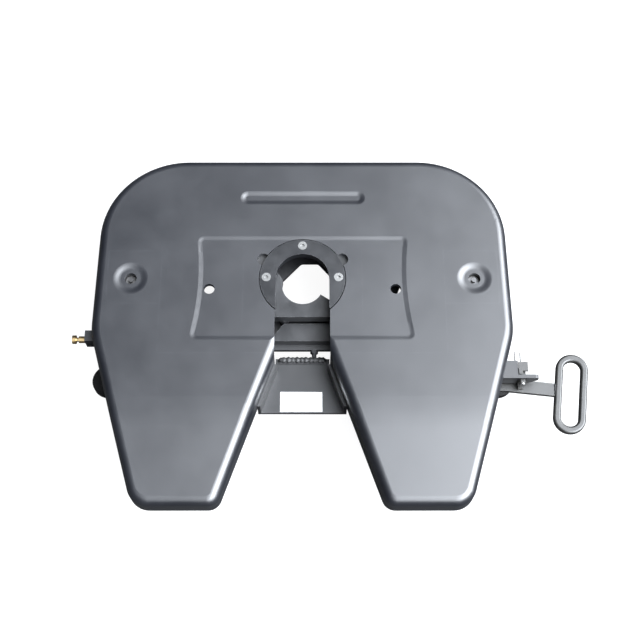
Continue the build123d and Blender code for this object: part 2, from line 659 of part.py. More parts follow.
# ---- lubrication inlet on the left side of the plate ---------------------------------------------
lube_y = -119.0
lube_z = -60.0
lube_block = block(-466, -430, lube_y - 12, lube_y + 12, lube_z - 12, lube_z + 24)
lube_block = lube_block - slab(outer_face, -120, 10)
lube_block -= rod_x(-470, -440, lube_y, lube_z, 3)
parts["lube_block"] = lube_block
lube_fitting = rod_x(-482, -466, lube_y, lube_z, 7.5)
lube_fitting += rod_x(-490, -482, lube_y, lube_z, 4.5)
lube_fitting += rod_x(-496, -488, lube_y, lube_z, 9.5)
lube_fitting += rod_x(-466, -458, lube_y, lube_z, 3)
lube_fitting -= rod_x(-500, -474, lube_y, lube_z, 2.5)
parts["lube_fitting"] = lube_fitting

# ---- bearings and pedestals ----------------------------------------------------------------------
def lobed_foot():
    """The right pedestal's foot outline, with a rounded lobe at each bolt."""
    face = rounded_face([
        (foot_hole_outer_x + 6, foot_hole_half_y + 12, 14),
        (foot_hole_inner_x - 6, foot_hole_half_y + 12, 14),
        (foot_hole_inner_x - 8, 140, 20),
        (foot_hole_inner_x + 6, 90, 30),
        (foot_hole_inner_x + 6, -90, 30),
        (foot_hole_inner_x - 8, -140, 20),
        (foot_hole_inner_x - 6, -foot_hole_half_y - 12, 14),
        (foot_hole_outer_x + 6, -foot_hole_half_y - 12, 14),
        (foot_hole_outer_x - 6, -140, 20),
        (foot_hole_outer_x - 20, -90, 30),
        (foot_hole_outer_x - 20, 90, 30),
        (foot_hole_outer_x - 6, 140, 20),
    ])
    for x in (foot_hole_inner_x, foot_hole_outer_x):
        for y in (-foot_hole_half_y, foot_hole_half_y):
            face += Pos(x, y) * Circle(foot_lobe_radius)
    return face


def right_pedestal():
    """The cast pedestal on the handle side."""
    foot_top_z = foot_bottom_z + foot_thickness
    casting = slab(lobed_foot(), foot_bottom_z, foot_top_z)
    web = side_profile([
        (-150, foot_top_z - 4),
        (150, foot_top_z - 4),
        (130, foot_top_z + 14),
        (eye_radius - 2, pivot_z - 8),
        (eye_radius - 2, pivot_z),
        (-eye_radius + 2, pivot_z),
        (-eye_radius + 2, pivot_z - 8),
        (-130, foot_top_z + 14),
    ], pivot_x - eye_width / 2, pivot_x + eye_width / 2)
    window = side_profile([
        (-58, foot_top_z + 12), (58, foot_top_z + 12), (36, pivot_z - 58), (-36, pivot_z - 58),
    ], pivot_x - 60, pivot_x + 60)
    casting += web - window
    casting += rod_x(pivot_x - eye_width / 2, pivot_x + eye_width / 2, 0, pivot_z, eye_radius)
    for y in (-84, 84):
        gusset = Plane.XZ * make_face(Polyline([
            (foot_hole_inner_x + 8, foot_top_z - 4), (foot_hole_outer_x - 22, foot_top_z - 4),
            (pivot_x + eye_width / 2, foot_top_z + 34), (pivot_x - eye_width / 2, foot_top_z + 34),
        ], close=True))
        casting += Pos(0, y + 6, 0) * extrude(gusset, 12)
    casting -= rod_x(pivot_x - 60, pivot_x + 60, 0, pivot_z, bush_outer_radius)
    for x in (foot_hole_inner_x, foot_hole_outer_x):
        for y in (-foot_hole_half_y, foot_hole_half_y):
            casting += rod_z(x, y, foot_hole_radius + 10, foot_top_z, foot_top_z + 4)
            casting -= rod_z(x, y, foot_hole_radius, foot_bottom_z - 5, foot_top_z + 10)
    return casting


pedestal = right_pedestal()
bush = rod_x(pivot_x - eye_width / 2, pivot_x + eye_width / 2, 0, pivot_z, bush_outer_radius)
bush -= rod_x(pivot_x - 60, pivot_x + 60, 0, pivot_z, sleeve_outer_radius)
sleeve = rod_x(pivot_x - eye_width / 2 - 2, pivot_x + eye_width / 2 + 2, 0, pivot_z, sleeve_outer_radius)
sleeve -= rod_x(pivot_x - 60, pivot_x + 60, 0, pivot_z, pivot_pin_radius + running_clearance)
pad_end_x = pivot_x + ear_outer_offset
housing = block(pivot_x - ear_outer_offset, pad_end_x, -42, 42, pad_bottom_z, -plate_thickness)
for side in (-1, 1):
    near = pivot_x + side * ear_inner_offset
    far = pivot_x + side * ear_outer_offset
    housing += block(near, far, -42, 42, pivot_z + 10, pad_bottom_z + 2)
    housing += rod_x(near, far, 0, pivot_z, 36)
    housing += block(near, far, -36, 36, pivot_z, pivot_z + 12)
housing -= rod_x(pivot_x - 90, pivot_x + 90, 0, pivot_z, pivot_pin_radius)
housing -= rod_z(pivot_x, 0, bearing_bolt_radius, -60, 0)
pivot_pin = rod_x(pivot_x - ear_outer_offset - 3, pad_end_x + 3, 0, pivot_z, pivot_pin_radius)
bolt = rod_z(pivot_x, 0, bearing_bolt_radius, pad_bottom_z + 1, bearing_bolt_top_z)
bolt += rod_z(pivot_x, 0, bearing_stud_radius, bearing_bolt_top_z, bearing_stud_top_z)
ring_solids = []
for side in (-1, 1):
    place_x = pivot_x + side * (ear_outer_offset + 1.5)
    clip = rod_x(place_x - 1.2, place_x + 1.2, 0, pivot_z, pivot_pin_radius + 4)
    clip -= rod_x(place_x - 5, place_x + 5, 0, pivot_z, pivot_pin_radius)
    ring_solids.append(clip)

for name, solid in (
    ("pedestal", pedestal),
    ("rubber_bush", bush),
    ("bush_sleeve", sleeve),
    ("bearing_housing", housing),
    ("pivot_pin", pivot_pin),
    ("bearing_bolt", bolt),
):
    parts[name + "_right"] = solid
    parts[name + "_left"] = solid.mirror(Plane.YZ)
retaining = []
for clip in ring_solids:
    retaining += both_sides(clip)
parts["retaining_rings"] = group("retaining_rings", retaining)

# ---- one file per piece --------------------------------------------------------------------------
os.makedirs("parts", exist_ok=True)
for name, solid in parts.items():
    solid.label = name
    export_step(solid, f"parts/{name}.step")
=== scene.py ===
"""Looks of the fifth wheel hitch: finishes, welds, spring, studio and camera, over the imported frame."""
from __future__ import annotations

import logging
import math
from dataclasses import dataclass, field
from enum import Enum
from typing import Callable

import bpy
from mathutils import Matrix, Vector


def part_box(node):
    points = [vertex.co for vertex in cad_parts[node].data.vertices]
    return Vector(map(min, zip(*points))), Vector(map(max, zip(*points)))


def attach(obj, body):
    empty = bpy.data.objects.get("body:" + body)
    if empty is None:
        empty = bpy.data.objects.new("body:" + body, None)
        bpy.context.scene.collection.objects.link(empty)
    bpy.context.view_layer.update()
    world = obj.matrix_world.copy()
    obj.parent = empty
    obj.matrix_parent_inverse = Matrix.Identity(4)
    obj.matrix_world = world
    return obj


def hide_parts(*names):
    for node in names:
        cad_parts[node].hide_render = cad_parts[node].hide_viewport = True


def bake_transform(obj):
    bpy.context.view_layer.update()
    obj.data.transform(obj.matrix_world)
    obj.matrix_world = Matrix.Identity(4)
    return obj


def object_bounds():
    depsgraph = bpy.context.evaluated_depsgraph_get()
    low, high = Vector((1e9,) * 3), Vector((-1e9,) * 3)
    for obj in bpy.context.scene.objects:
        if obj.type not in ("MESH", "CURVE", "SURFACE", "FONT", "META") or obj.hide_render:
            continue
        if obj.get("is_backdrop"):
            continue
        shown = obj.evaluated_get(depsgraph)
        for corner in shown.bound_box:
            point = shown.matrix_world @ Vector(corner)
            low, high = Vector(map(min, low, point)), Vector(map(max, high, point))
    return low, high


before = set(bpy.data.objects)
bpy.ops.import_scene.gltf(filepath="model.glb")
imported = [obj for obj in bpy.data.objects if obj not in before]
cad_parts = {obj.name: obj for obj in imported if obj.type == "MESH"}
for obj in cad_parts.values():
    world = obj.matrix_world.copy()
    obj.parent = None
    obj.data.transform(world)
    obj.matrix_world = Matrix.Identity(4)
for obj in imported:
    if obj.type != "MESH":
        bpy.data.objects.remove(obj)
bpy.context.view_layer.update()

logging.basicConfig(level=logging.INFO, format="%(message)s")
LOG = logging.getLogger("hitch")

Socket = bpy.types.NodeSocket
FLOAT = "NodeSocketFloat"
VECTOR = "NodeSocketVector"


class Body(Enum):
    """The moving bodies that added pieces ride on."""

    PLATE = "plate"
    LEVER = "lever"
    HANDLE = "handle"


class Graph:
    """A small wrapper that adds and links shader nodes."""

    def __init__(self, tree: bpy.types.NodeTree) -> None:
        """Start from a node tree and empty it.

        Args:
            tree: the node tree to build in.
        """
        self.tree = tree
        tree.nodes.clear()

    def node(self, kind: str, **settings: object) -> bpy.types.Node:
        """Add a node and set its properties.

        Args:
            kind: the node's type name.
            settings: properties to set on the node.

        Returns:
            The new node.
        """
        made = self.tree.nodes.new(kind)
        for key, value in settings.items():
            setattr(made, key, value)
        return made

    def link(self, source: Socket, target: Socket) -> None:
        """Join two sockets."""
        self.tree.links.new(source, target)

    def feed(self, target: Socket, value: object) -> None:
        """Link a socket, or set a plain value on it.

        Args:
            target: the input socket.
            value: another socket, a number or a tuple.
        """
        if isinstance(value, bpy.types.NodeSocket):
            self.link(value, target)
        else:
            target.default_value = value

    def math(self, operation: str, first: object, second: object = 0.0, clamp: bool = False) -> Socket:
        """Add a math node.

        Args:
            operation: the math operation.
            first: the first operand.
            second: the second operand.
            clamp: limit the result to 0 and 1.

        Returns:
            The node's output.
        """
        made = self.node("ShaderNodeMath", operation=operation, use_clamp=clamp)
        self.feed(made.inputs[0], first)
        self.feed(made.inputs[1], second)
        return made.outputs[0]

    def noise(self, vector: Socket, scale: object, detail: float = 4.0, roughness: float = 0.55) -> Socket:
        """Add a noise texture.

        Args:
            vector: the coordinates.
            scale: the scale, as a socket or a number.
            detail: how many finer layers are added.
            roughness: how strong the finer layers are.

        Returns:
            The noise, about 0 to 1.
        """
        made = self.node("ShaderNodeTexNoise")
        self.link(vector, made.inputs["Vector"])
        self.feed(made.inputs["Scale"], scale)
        made.inputs["Detail"].default_value = detail
        made.inputs["Roughness"].default_value = roughness
        return made.outputs["Fac"]

    def ramp(self, value: Socket, low: object, high: object) -> Socket:
        """Map a value smoothly from low..high to 0..1.

        Args:
            value: the value to map.
            low: where the result is 0, as a socket or a number.
            high: where the result is 1, as a socket or a number.

        Returns:
            The mapped value.
        """
        made = self.node("ShaderNodeMapRange", interpolation_type="SMOOTHSTEP")
        self.link(value, made.inputs["Value"])
        self.feed(made.inputs["From Min"], low)
        self.feed(made.inputs["From Max"], high)
        return made.outputs["Result"]

    def mix(self, factor: Socket, first: object, second: object) -> Socket:
        """Mix two colours.

        Args:
            factor: how much of the second colour is in the mix.
            first: the colour at 0, as a socket or a tuple.
            second: the colour at 1, as a socket or a tuple.

        Returns:
            The mixed colour.
        """
        made = self.node("ShaderNodeMix", data_type="RGBA")
        self.feed(made.inputs[0], factor)
        self.feed(made.inputs[6], first)
        self.feed(made.inputs[7], second)
        return made.outputs[2]


def new_group(
    name: str, inputs: dict[str, tuple[str, object]], outputs: dict[str, str]
) -> tuple[bpy.types.NodeTree, Graph]:
    """Make a shader node group with named sockets.

    Args:
        name: the group's name.
        inputs: socket name to its type and default value.
        outputs: socket name to its type.

    Returns:
        The group and a graph to build in it.
    """
    group = bpy.data.node_groups.new(name, "ShaderNodeTree")
    for key, (kind, value) in inputs.items():
        made = group.interface.new_socket(name=key, in_out="INPUT", socket_type=kind)
        if value is not None:
            made.default_value = value
    for key, kind in outputs.items():
        group.interface.new_socket(name=key, in_out="OUTPUT", socket_type=kind)
    return group, Graph(group)


class Effects:
    """Shader groups that several finishes share."""

    fine_share: float = 0.35
    mark_half_width: float = 0.0022

    def __init__(self) -> None:
        """Build each group once."""
        self.mottle = self._mottle()
        self.edge = self._edge()
        self.grain = self._grain()
        self.stroke = self._stroke()

    def _mottle(self) -> bpy.types.NodeTree:
        """Cloudy patches of dust and handling, from broad to fine.

        Returns:
            The group, with a mask that is 1 on the patches.
        """
        group, graph = new_group(
            "cloudy_patches",
            {"Vector": (VECTOR, None), "Size": (FLOAT, 8.0), "Spread": (FLOAT, 0.2)},
            {"Mask": FLOAT},
        )
        start = graph.node("NodeGroupInput")
        broad = graph.noise(start.outputs["Vector"], start.outputs["Size"], detail=7.0, roughness=0.62)
        low = graph.math("SUBTRACT", 0.5, start.outputs["Spread"])
        high = graph.math("ADD", 0.5, start.outputs["Spread"])
        end = graph.node("NodeGroupOutput")
        graph.link(graph.ramp(broad, low, high), end.inputs["Mask"])
        return group

    def _edge(self) -> bpy.types.NodeTree:
        """Wear along the edges, broken up by noise.

        Returns:
            The group, with a mask that is 1 on worn edges.
        """
        group, graph = new_group(
            "worn_edges",
            {"Vector": (VECTOR, None), "Width": (FLOAT, 0.0015), "Amount": (FLOAT, 0.5)},
            {"Mask": FLOAT},
        )
        start = graph.node("NodeGroupInput")
        bevel = graph.node("ShaderNodeBevel", samples=4)
        graph.link(start.outputs["Width"], bevel.inputs["Radius"])
        shape = graph.node("ShaderNodeNewGeometry")
        dot = graph.node("ShaderNodeVectorMath", operation="DOT_PRODUCT")
        graph.link(bevel.outputs["Normal"], dot.inputs[0])
        graph.link(shape.outputs["Normal"], dot.inputs[1])
        turned = graph.math("SUBTRACT", 1.0, dot.outputs["Value"])
        noise = graph.noise(start.outputs["Vector"], scale=90.0, detail=6.0, roughness=0.6)
        on_edge = graph.ramp(turned, low=0.01, high=0.16)
        broken = graph.ramp(noise, low=0.38, high=0.62)
        worn = graph.math("MULTIPLY", on_edge, broken)
        end = graph.node("NodeGroupOutput")
        graph.link(graph.math("MULTIPLY", worn, start.outputs["Amount"], clamp=True), end.inputs["Mask"])
        return group

    def _grain(self) -> bpy.types.NodeTree:
        """Fine grain with a slow ripple under it, as a height.

        Returns:
            The group, with a height.
        """
        group, graph = new_group(
            "fine_grain",
            {"Vector": (VECTOR, None), "Fine": (FLOAT, 900.0), "Ripple": (FLOAT, 40.0)},
            {"Height": FLOAT},
        )
        start = graph.node("NodeGroupInput")
        fine = graph.noise(start.outputs["Vector"], start.outputs["Fine"], detail=3.0, roughness=0.5)
        slow = graph.noise(start.outputs["Vector"], start.outputs["Ripple"], detail=5.0, roughness=0.5)
        total = graph.math("ADD", graph.math("MULTIPLY", fine, self.fine_share), slow)
        end = graph.node("NodeGroupOutput")
        graph.link(total, end.inputs["Height"])
        return group

    def _stroke(self) -> bpy.types.NodeTree:
        """One straight faint pressing mark, mirrored to both sides of the plate.

        Returns:
            The group, with a mask that is 1 on the mark.
        """
        group, graph = new_group(
            "pressing_mark",
            {key: (FLOAT, 0.0) for key in ("Across", "Along", "Place", "Start", "End")},
            {"Mask": FLOAT},
        )
        start = graph.node("NodeGroupInput")
        offset = graph.math("SUBTRACT", start.outputs["Across"], start.outputs["Place"])
        distance = graph.math("ABSOLUTE", offset)
        line = graph.math("SUBTRACT", 1.0, graph.ramp(distance, 0.0, self.mark_half_width))
        after = graph.math("GREATER_THAN", start.outputs["Along"], start.outputs["Start"])
        before = graph.math("LESS_THAN", start.outputs["Along"], start.outputs["End"])
        end = graph.node("NodeGroupOutput")
        graph.link(graph.math("MULTIPLY", line, graph.math("MULTIPLY", after, before)), end.inputs["Mask"])
        return group


Extra = Callable[[Graph, Socket, Socket, Socket], tuple[Socket, Socket]]


@dataclass(frozen=True)
class Finish:
    """A procedural surface finish on Object coordinates."""

    name: str
    base: tuple[float, float, float]
    patch: tuple[float, float, float]
    worn: tuple[float, float, float]
    roughness: tuple[float, float]
    metallic: float = 0.0
    specular: float = 0.5
    patch_size: float = 9.0
    patch_spread: float = 0.22
    edge_width: float = 0.0012
    edge_amount: float = 0.5
    edge_metal: float = 1.0
    bump: float = 0.15
    bump_depth: float = 0.001
    fine: float = 900.0
    ripple: float = 45.0
    brushed: tuple[float, float, float] = (1.0, 1.0, 1.0)
    extra: Extra | None = None

    def build(self, effects: Effects) -> bpy.types.Material:
        """Make the material.

        Args:
            effects: the shared shader groups.

        Returns:
            The finished material.
        """
        material = bpy.data.materials.new(self.name)
        material.use_nodes = True
        graph = Graph(material.node_tree)
        place = graph.node("ShaderNodeTexCoord").outputs["Object"]
        stretch = graph.node("ShaderNodeMapping")
        graph.link(place, stretch.inputs["Vector"])
        stretch.inputs["Scale"].default_value = self.brushed
        vector = stretch.outputs["Vector"]
        patches = graph.node("ShaderNodeGroup", node_tree=effects.mottle)
        graph.link(vector, patches.inputs["Vector"])
        patches.inputs["Size"].default_value = self.patch_size
        patches.inputs["Spread"].default_value = self.patch_spread
        edges = graph.node("ShaderNodeGroup", node_tree=effects.edge)
        graph.link(place, edges.inputs["Vector"])
        edges.inputs["Width"].default_value = self.edge_width
        edges.inputs["Amount"].default_value = self.edge_amount
        grain = graph.node("ShaderNodeGroup", node_tree=effects.grain)
        graph.link(vector, grain.inputs["Vector"])
        grain.inputs["Fine"].default_value = self.fine
        grain.inputs["Ripple"].default_value = self.ripple
        colour = graph.mix(patches.outputs["Mask"], (*self.base, 1.0), (*self.patch, 1.0))
        height = grain.outputs["Height"]
        if self.extra is not None:
            colour, height = self.extra(graph, place, colour, height)
        colour = graph.mix(edges.outputs["Mask"], colour, (*self.worn, 1.0))
        low, high = self.roughness
        rough = graph.math("MULTIPLY_ADD", patches.outputs["Mask"], high - low)
        rough.node.inputs[2].default_value = low
        surface = graph.node("ShaderNodeBsdfPrincipled")
        graph.link(colour, surface.inputs["Base Color"])
        graph.link(rough, surface.inputs["Roughness"])
        if self.metallic < 1.0 and self.edge_metal > 0.0:
            metal = graph.math("MULTIPLY_ADD", edges.outputs["Mask"], self.edge_metal * (1.0 - self.metallic))
            metal.node.inputs[2].default_value = self.metallic
            graph.link(metal, surface.inputs["Metallic"])
        else:
            surface.inputs["Metallic"].default_value = self.metallic
        surface.inputs["Specular IOR Level"].default_value = self.specular
        bump = graph.node("ShaderNodeBump")
        bump.inputs["Strength"].default_value = self.bump
        bump.inputs["Distance"].default_value = self.bump_depth
        graph.link(height, bump.inputs["Height"])
        graph.link(bump.outputs["Normal"], surface.inputs["Normal"])
        output = graph.node("ShaderNodeOutputMaterial")
        graph.link(surface.outputs["BSDF"], output.inputs["Surface"])
        return material


class PressingMarks:
    """The faint print-through of welded pieces on the plate's upper face.

    Each mark is its place across, then where it starts and ends along.
    """

    upright: tuple[tuple[float, float, float], ...] = (
        (0.305, -0.172, 0.074), (0.420, -0.059, 0.065), (0.128, -0.105, 0.080),
    )
    level: tuple[tuple[float, float, float], ...] = (
        (0.065, 0.305, 0.420), (-0.059, 0.305, 0.420), (-0.172, 0.070, 0.305),
    )
    lowest_z: float = -0.002
    break_scale: float = 30.0
    tint: tuple[float, float, float, float] = (0.05, 0.052, 0.058, 1.0)
    tint_share: float = 0.12
    rise: float = 0.18

    def __init__(self, effects: Effects) -> None:
        """Keep the shared groups."""
        self.effects = effects

    def __call__(
        self, graph: Graph, place: Socket, colour: Socket, height: Socket
    ) -> tuple[Socket, Socket]:
        """Add the marks to a finish.

        Args:
            graph: the material's graph.
            place: the object coordinates.
            colour: the colour so far.
            height: the height so far.

        Returns:
            The new colour and height.
        """
        split = graph.node("ShaderNodeSeparateXYZ")
        graph.link(place, split.inputs[0])
        side = graph.math("ABSOLUTE", split.outputs["X"])
        ahead = split.outputs["Y"]
        total: Socket | None = None
        for across, along, marks in ((side, ahead, self.upright), (ahead, side, self.level)):
            for where, start, end in marks:
                mark = graph.node("ShaderNodeGroup", node_tree=self.effects.stroke)
                graph.link(across, mark.inputs["Across"])
                graph.link(along, mark.inputs["Along"])
                mark.inputs["Place"].default_value = where
                mark.inputs["Start"].default_value = start
                mark.inputs["End"].default_value = end
                one = mark.outputs["Mask"]
                total = one if total is None else graph.math("MAXIMUM", total, one)
        top = graph.math("GREATER_THAN", split.outputs["Z"], self.lowest_z)
        total = graph.math("MULTIPLY", total, top)
        gaps = graph.ramp(graph.noise(place, self.break_scale), low=0.35, high=0.6)
        broken = graph.math("MULTIPLY", total, gaps)
        tinted = graph.mix(graph.math("MULTIPLY", broken, self.tint_share), colour, self.tint)
        raised = graph.math("MULTIPLY_ADD", total, self.rise)
        graph.link(height, raised.node.inputs[2])
        return tinted, raised


class Workshop:
    """Every finish of the hitch, and which CAD node wears which."""

    def __init__(self) -> None:
        """Build the finishes."""
        self.effects = Effects()
        finishes = {
            "plate": Finish(
                "plate_paint", (0.0030, 0.0036, 0.0056), (0.0062, 0.0070, 0.0094), (0.09, 0.095, 0.10),
                (0.33, 0.41), specular=1.0, patch_size=7.0, patch_spread=0.3, edge_amount=0.25, bump=0.07,
                extra=PressingMarks(self.effects),
            ),
            "frame": Finish(
                "frame_paint", (0.0035, 0.004, 0.005), (0.008, 0.008, 0.009), (0.10, 0.10, 0.10),
                (0.36, 0.46), specular=0.75, edge_amount=0.35, bump=0.12,
            ),
            "ring": Finish(
                "ring_paint", (0.005, 0.0055, 0.0065), (0.012, 0.0125, 0.014), (0.25, 0.25, 0.26),
                (0.32, 0.42), specular=0.48, patch_size=18.0, edge_amount=0.6, bump=0.08, ripple=70.0,
            ),
            "casting": Finish(
                "casting_paint", (0.004, 0.004, 0.0045), (0.010, 0.0095, 0.009), (0.08, 0.07, 0.06),
                (0.5, 0.65), specular=0.18, patch_size=14.0, edge_amount=0.3, edge_metal=0.5, bump=0.45,
                fine=500.0, ripple=120.0,
            ),
            "lock": Finish(
                "lock_paint", (0.005, 0.0055, 0.0065), (0.016, 0.0165, 0.018), (0.30, 0.30, 0.30),
                (0.32, 0.48), specular=0.62, patch_size=16.0, edge_amount=0.8, bump=0.22, ripple=90.0,
            ),
            "handle": Finish(
                "handle_paint", (0.007, 0.0068, 0.006), (0.018, 0.0175, 0.016), (0.22, 0.21, 0.19),
                (0.36, 0.50), specular=0.75, patch_size=20.0, edge_width=0.002, edge_amount=0.8, bump=0.2,
            ),
            "steel": Finish(
                "bare_steel", (0.16, 0.16, 0.165), (0.09, 0.088, 0.085), (0.4, 0.4, 0.4),
                (0.30, 0.48), metallic=1.0, patch_size=30.0, bump=0.12, brushed=(1.0, 1.0, 6.0),
            ),
            "zinc": Finish(
                "zinc_plate", (0.30, 0.30, 0.29), (0.20, 0.20, 0.20), (0.46, 0.46, 0.45),
                (0.34, 0.50), metallic=1.0, patch_size=60.0, bump=0.08,
            ),
            "brass": Finish(
                "dull_brass", (0.62, 0.46, 0.24), (0.38, 0.27, 0.13), (0.85, 0.70, 0.42),
                (0.26, 0.42), metallic=1.0, patch_size=70.0, bump=0.1,
            ),
            "rubber": Finish(
                "bush_rubber", (0.018, 0.018, 0.018), (0.035, 0.034, 0.033), (0.05, 0.05, 0.05),
                (0.7, 0.85), specular=0.3, edge_amount=0.2, edge_metal=0.0, bump=0.3,
            ),
            "label": Finish(
                "blank_label", (0.88, 0.88, 0.88), (0.80, 0.80, 0.79), (0.7, 0.7, 0.7),
                (0.45, 0.55), specular=0.4, patch_size=40.0, edge_amount=0.3, edge_metal=0.0, bump=0.05,
            ),
            "weld": Finish(
                "weld_metal", (0.007, 0.007, 0.0075), (0.02, 0.02, 0.02), (0.12, 0.11, 0.10),
                (0.38, 0.58), specular=0.45, patch_size=60.0, edge_amount=0.4, bump=0.6, fine=400.0,
                ripple=260.0,
            ),
        }
        self.materials = {key: finish.build(self.effects) for key, finish in finishes.items()}
        self.wearing: dict[str, tuple[str, ...]] = {
            "plate": ("top_plate",),
            "frame": (
                "stiffener_ribs", "cross_plate", "guide_bracket", "seat_plate", "lock_housing",
                "housing_spacers", "lube_block",
            ),
            "ring": ("wear_ring",),
            "casting": (
                "pedestal_left", "pedestal_right", "bearing_housing_left", "bearing_housing_right",
            ),
            "lock": (
                "jaw", "lock_bar", "lever", "bar_guide_left", "bar_guide_right", "adjusting_screw",
                "adjusting_locknut",
            ),
            "handle": ("handle_arm", "handle_loop", "safety_catch", "catch_thumb"),
            "steel": (
                "jaw_pin", "drive_pin", "spring_stud", "lever_pin", "spring_post", "closing_spring",
                "handle_pin", "catch_spring", "bush_sleeve_left", "bush_sleeve_right", "pivot_pin_left",
                "pivot_pin_right", "retaining_rings", "housing_bolts", "bearing_bolt_left",
                "bearing_bolt_right",
            ),
            "zinc": ("wear_ring_screws", "catch_pin", "lever_nut"),
            "brass": ("lube_fitting",),
            "rubber": ("rubber_bush_left", "rubber_bush_right"),
            "label": ("blank_label",),
        }

    def dress(self) -> None:
        """Give every CAD node its finish."""
        for finish, names in self.wearing.items():
            for name in names:
                self.paint(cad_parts[name], finish)
        bare = set(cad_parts) - {name for names in self.wearing.values() for name in names}
        LOG.info("nodes dressed: %d, without a finish: %s", len(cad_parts) - len(bare), sorted(bare))

    def paint(self, piece: bpy.types.Object, finish: str) -> None:
        """Put one finish on a piece.

        Args:
            piece: the object to paint.
            finish: the finish's key.
        """
        piece.data.materials.clear()
        piece.data.materials.append(self.materials[finish])


def deselect_all() -> None:
    """Leave nothing selected or in edit mode."""
    if bpy.context.object is not None and bpy.context.object.mode != "OBJECT":
        bpy.ops.object.mode_set(mode="OBJECT")
    bpy.ops.object.select_all(action="DESELECT")


def settle(piece: bpy.types.Object, body: Body) -> bpy.types.Object:
    """Apply a piece's transforms and let it ride.

    Args:
        piece: the finished piece.
        body: the body it moves with.

    Returns:
        The same piece.
    """
    deselect_all()
    piece.select_set(True)
    bpy.context.view_layer.objects.active = piece
    bpy.ops.object.transform_apply(location=True, rotation=True, scale=True)
    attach(piece, body.value)
    LOG.info("piece %s rides on %s, %d faces", piece.name, body.value, len(piece.data.polygons))
    return piece


@dataclass
class WeldBead:
    """A rippled fillet weld laid along a straight joint."""

    name: str
    start: Vector
    end: Vector
    radius: float
    body: Body
    finish: str = "weld"
    flatten: float = 0.6
    sides: int = 12
    least_cuts: int = 12
    ripples_per_metre: float = 210.0
    thickness: float = 0.80
    ripple_height: float = 0.14
    wander_height: float = 0.06
    wander_rate: float = 37.0
    end_thickness: float = 0.35
    end_growth: float = 10.0

    def build(self, shop: Workshop) -> bpy.types.Object:
        """Model the bead from a cylinder whose rings swell and wander.

        Args:
            shop: the finishes.

        Returns:
            The bead.
        """
        deselect_all()
        run = self.end - self.start
        bpy.ops.mesh.primitive_cylinder_add(
            vertices=self.sides, radius=self.radius, depth=run.length, location=(0, 0, 0)
        )
        piece = bpy.context.object
        piece.name = self.name
        cuts = max(self.least_cuts, int(run.length * self.ripples_per_metre * 2))
        bpy.ops.object.mode_set(mode="EDIT")
        bpy.ops.mesh.select_mode(type="EDGE")
        bpy.ops.mesh.select_all(action="DESELECT")
        bpy.ops.object.mode_set(mode="OBJECT")
        for edge in piece.data.edges:
            first, second = (piece.data.vertices[i].co for i in edge.vertices)
            edge.select = abs(first.z - second.z) > run.length * 0.5
        bpy.ops.object.mode_set(mode="EDIT")
        bpy.ops.mesh.subdivide(number_cuts=cuts)
        bpy.ops.object.mode_set(mode="OBJECT")
        turn = Vector((0, 0, 1)).rotation_difference(run.normalized())
        middle = (self.start + self.end) / 2
        for vertex in piece.data.vertices:
            share = vertex.co.z / run.length + 0.5
            wave = math.sin(share * run.length * self.ripples_per_metre * math.pi)
            wander = math.sin(share * self.wander_rate)
            swell = self.thickness + self.ripple_height * wave + self.wander_height * wander
            taper = min(1.0, self.end_thickness + self.end_growth * min(share, 1.0 - share))
            vertex.co.x *= swell * taper
            vertex.co.y *= swell * taper
            vertex.co = turn @ vertex.co
            vertex.co.z *= self.flatten
            vertex.co += middle
        bpy.ops.object.shade_smooth()
        shop.paint(piece, self.finish)
        return settle(piece, self.body)


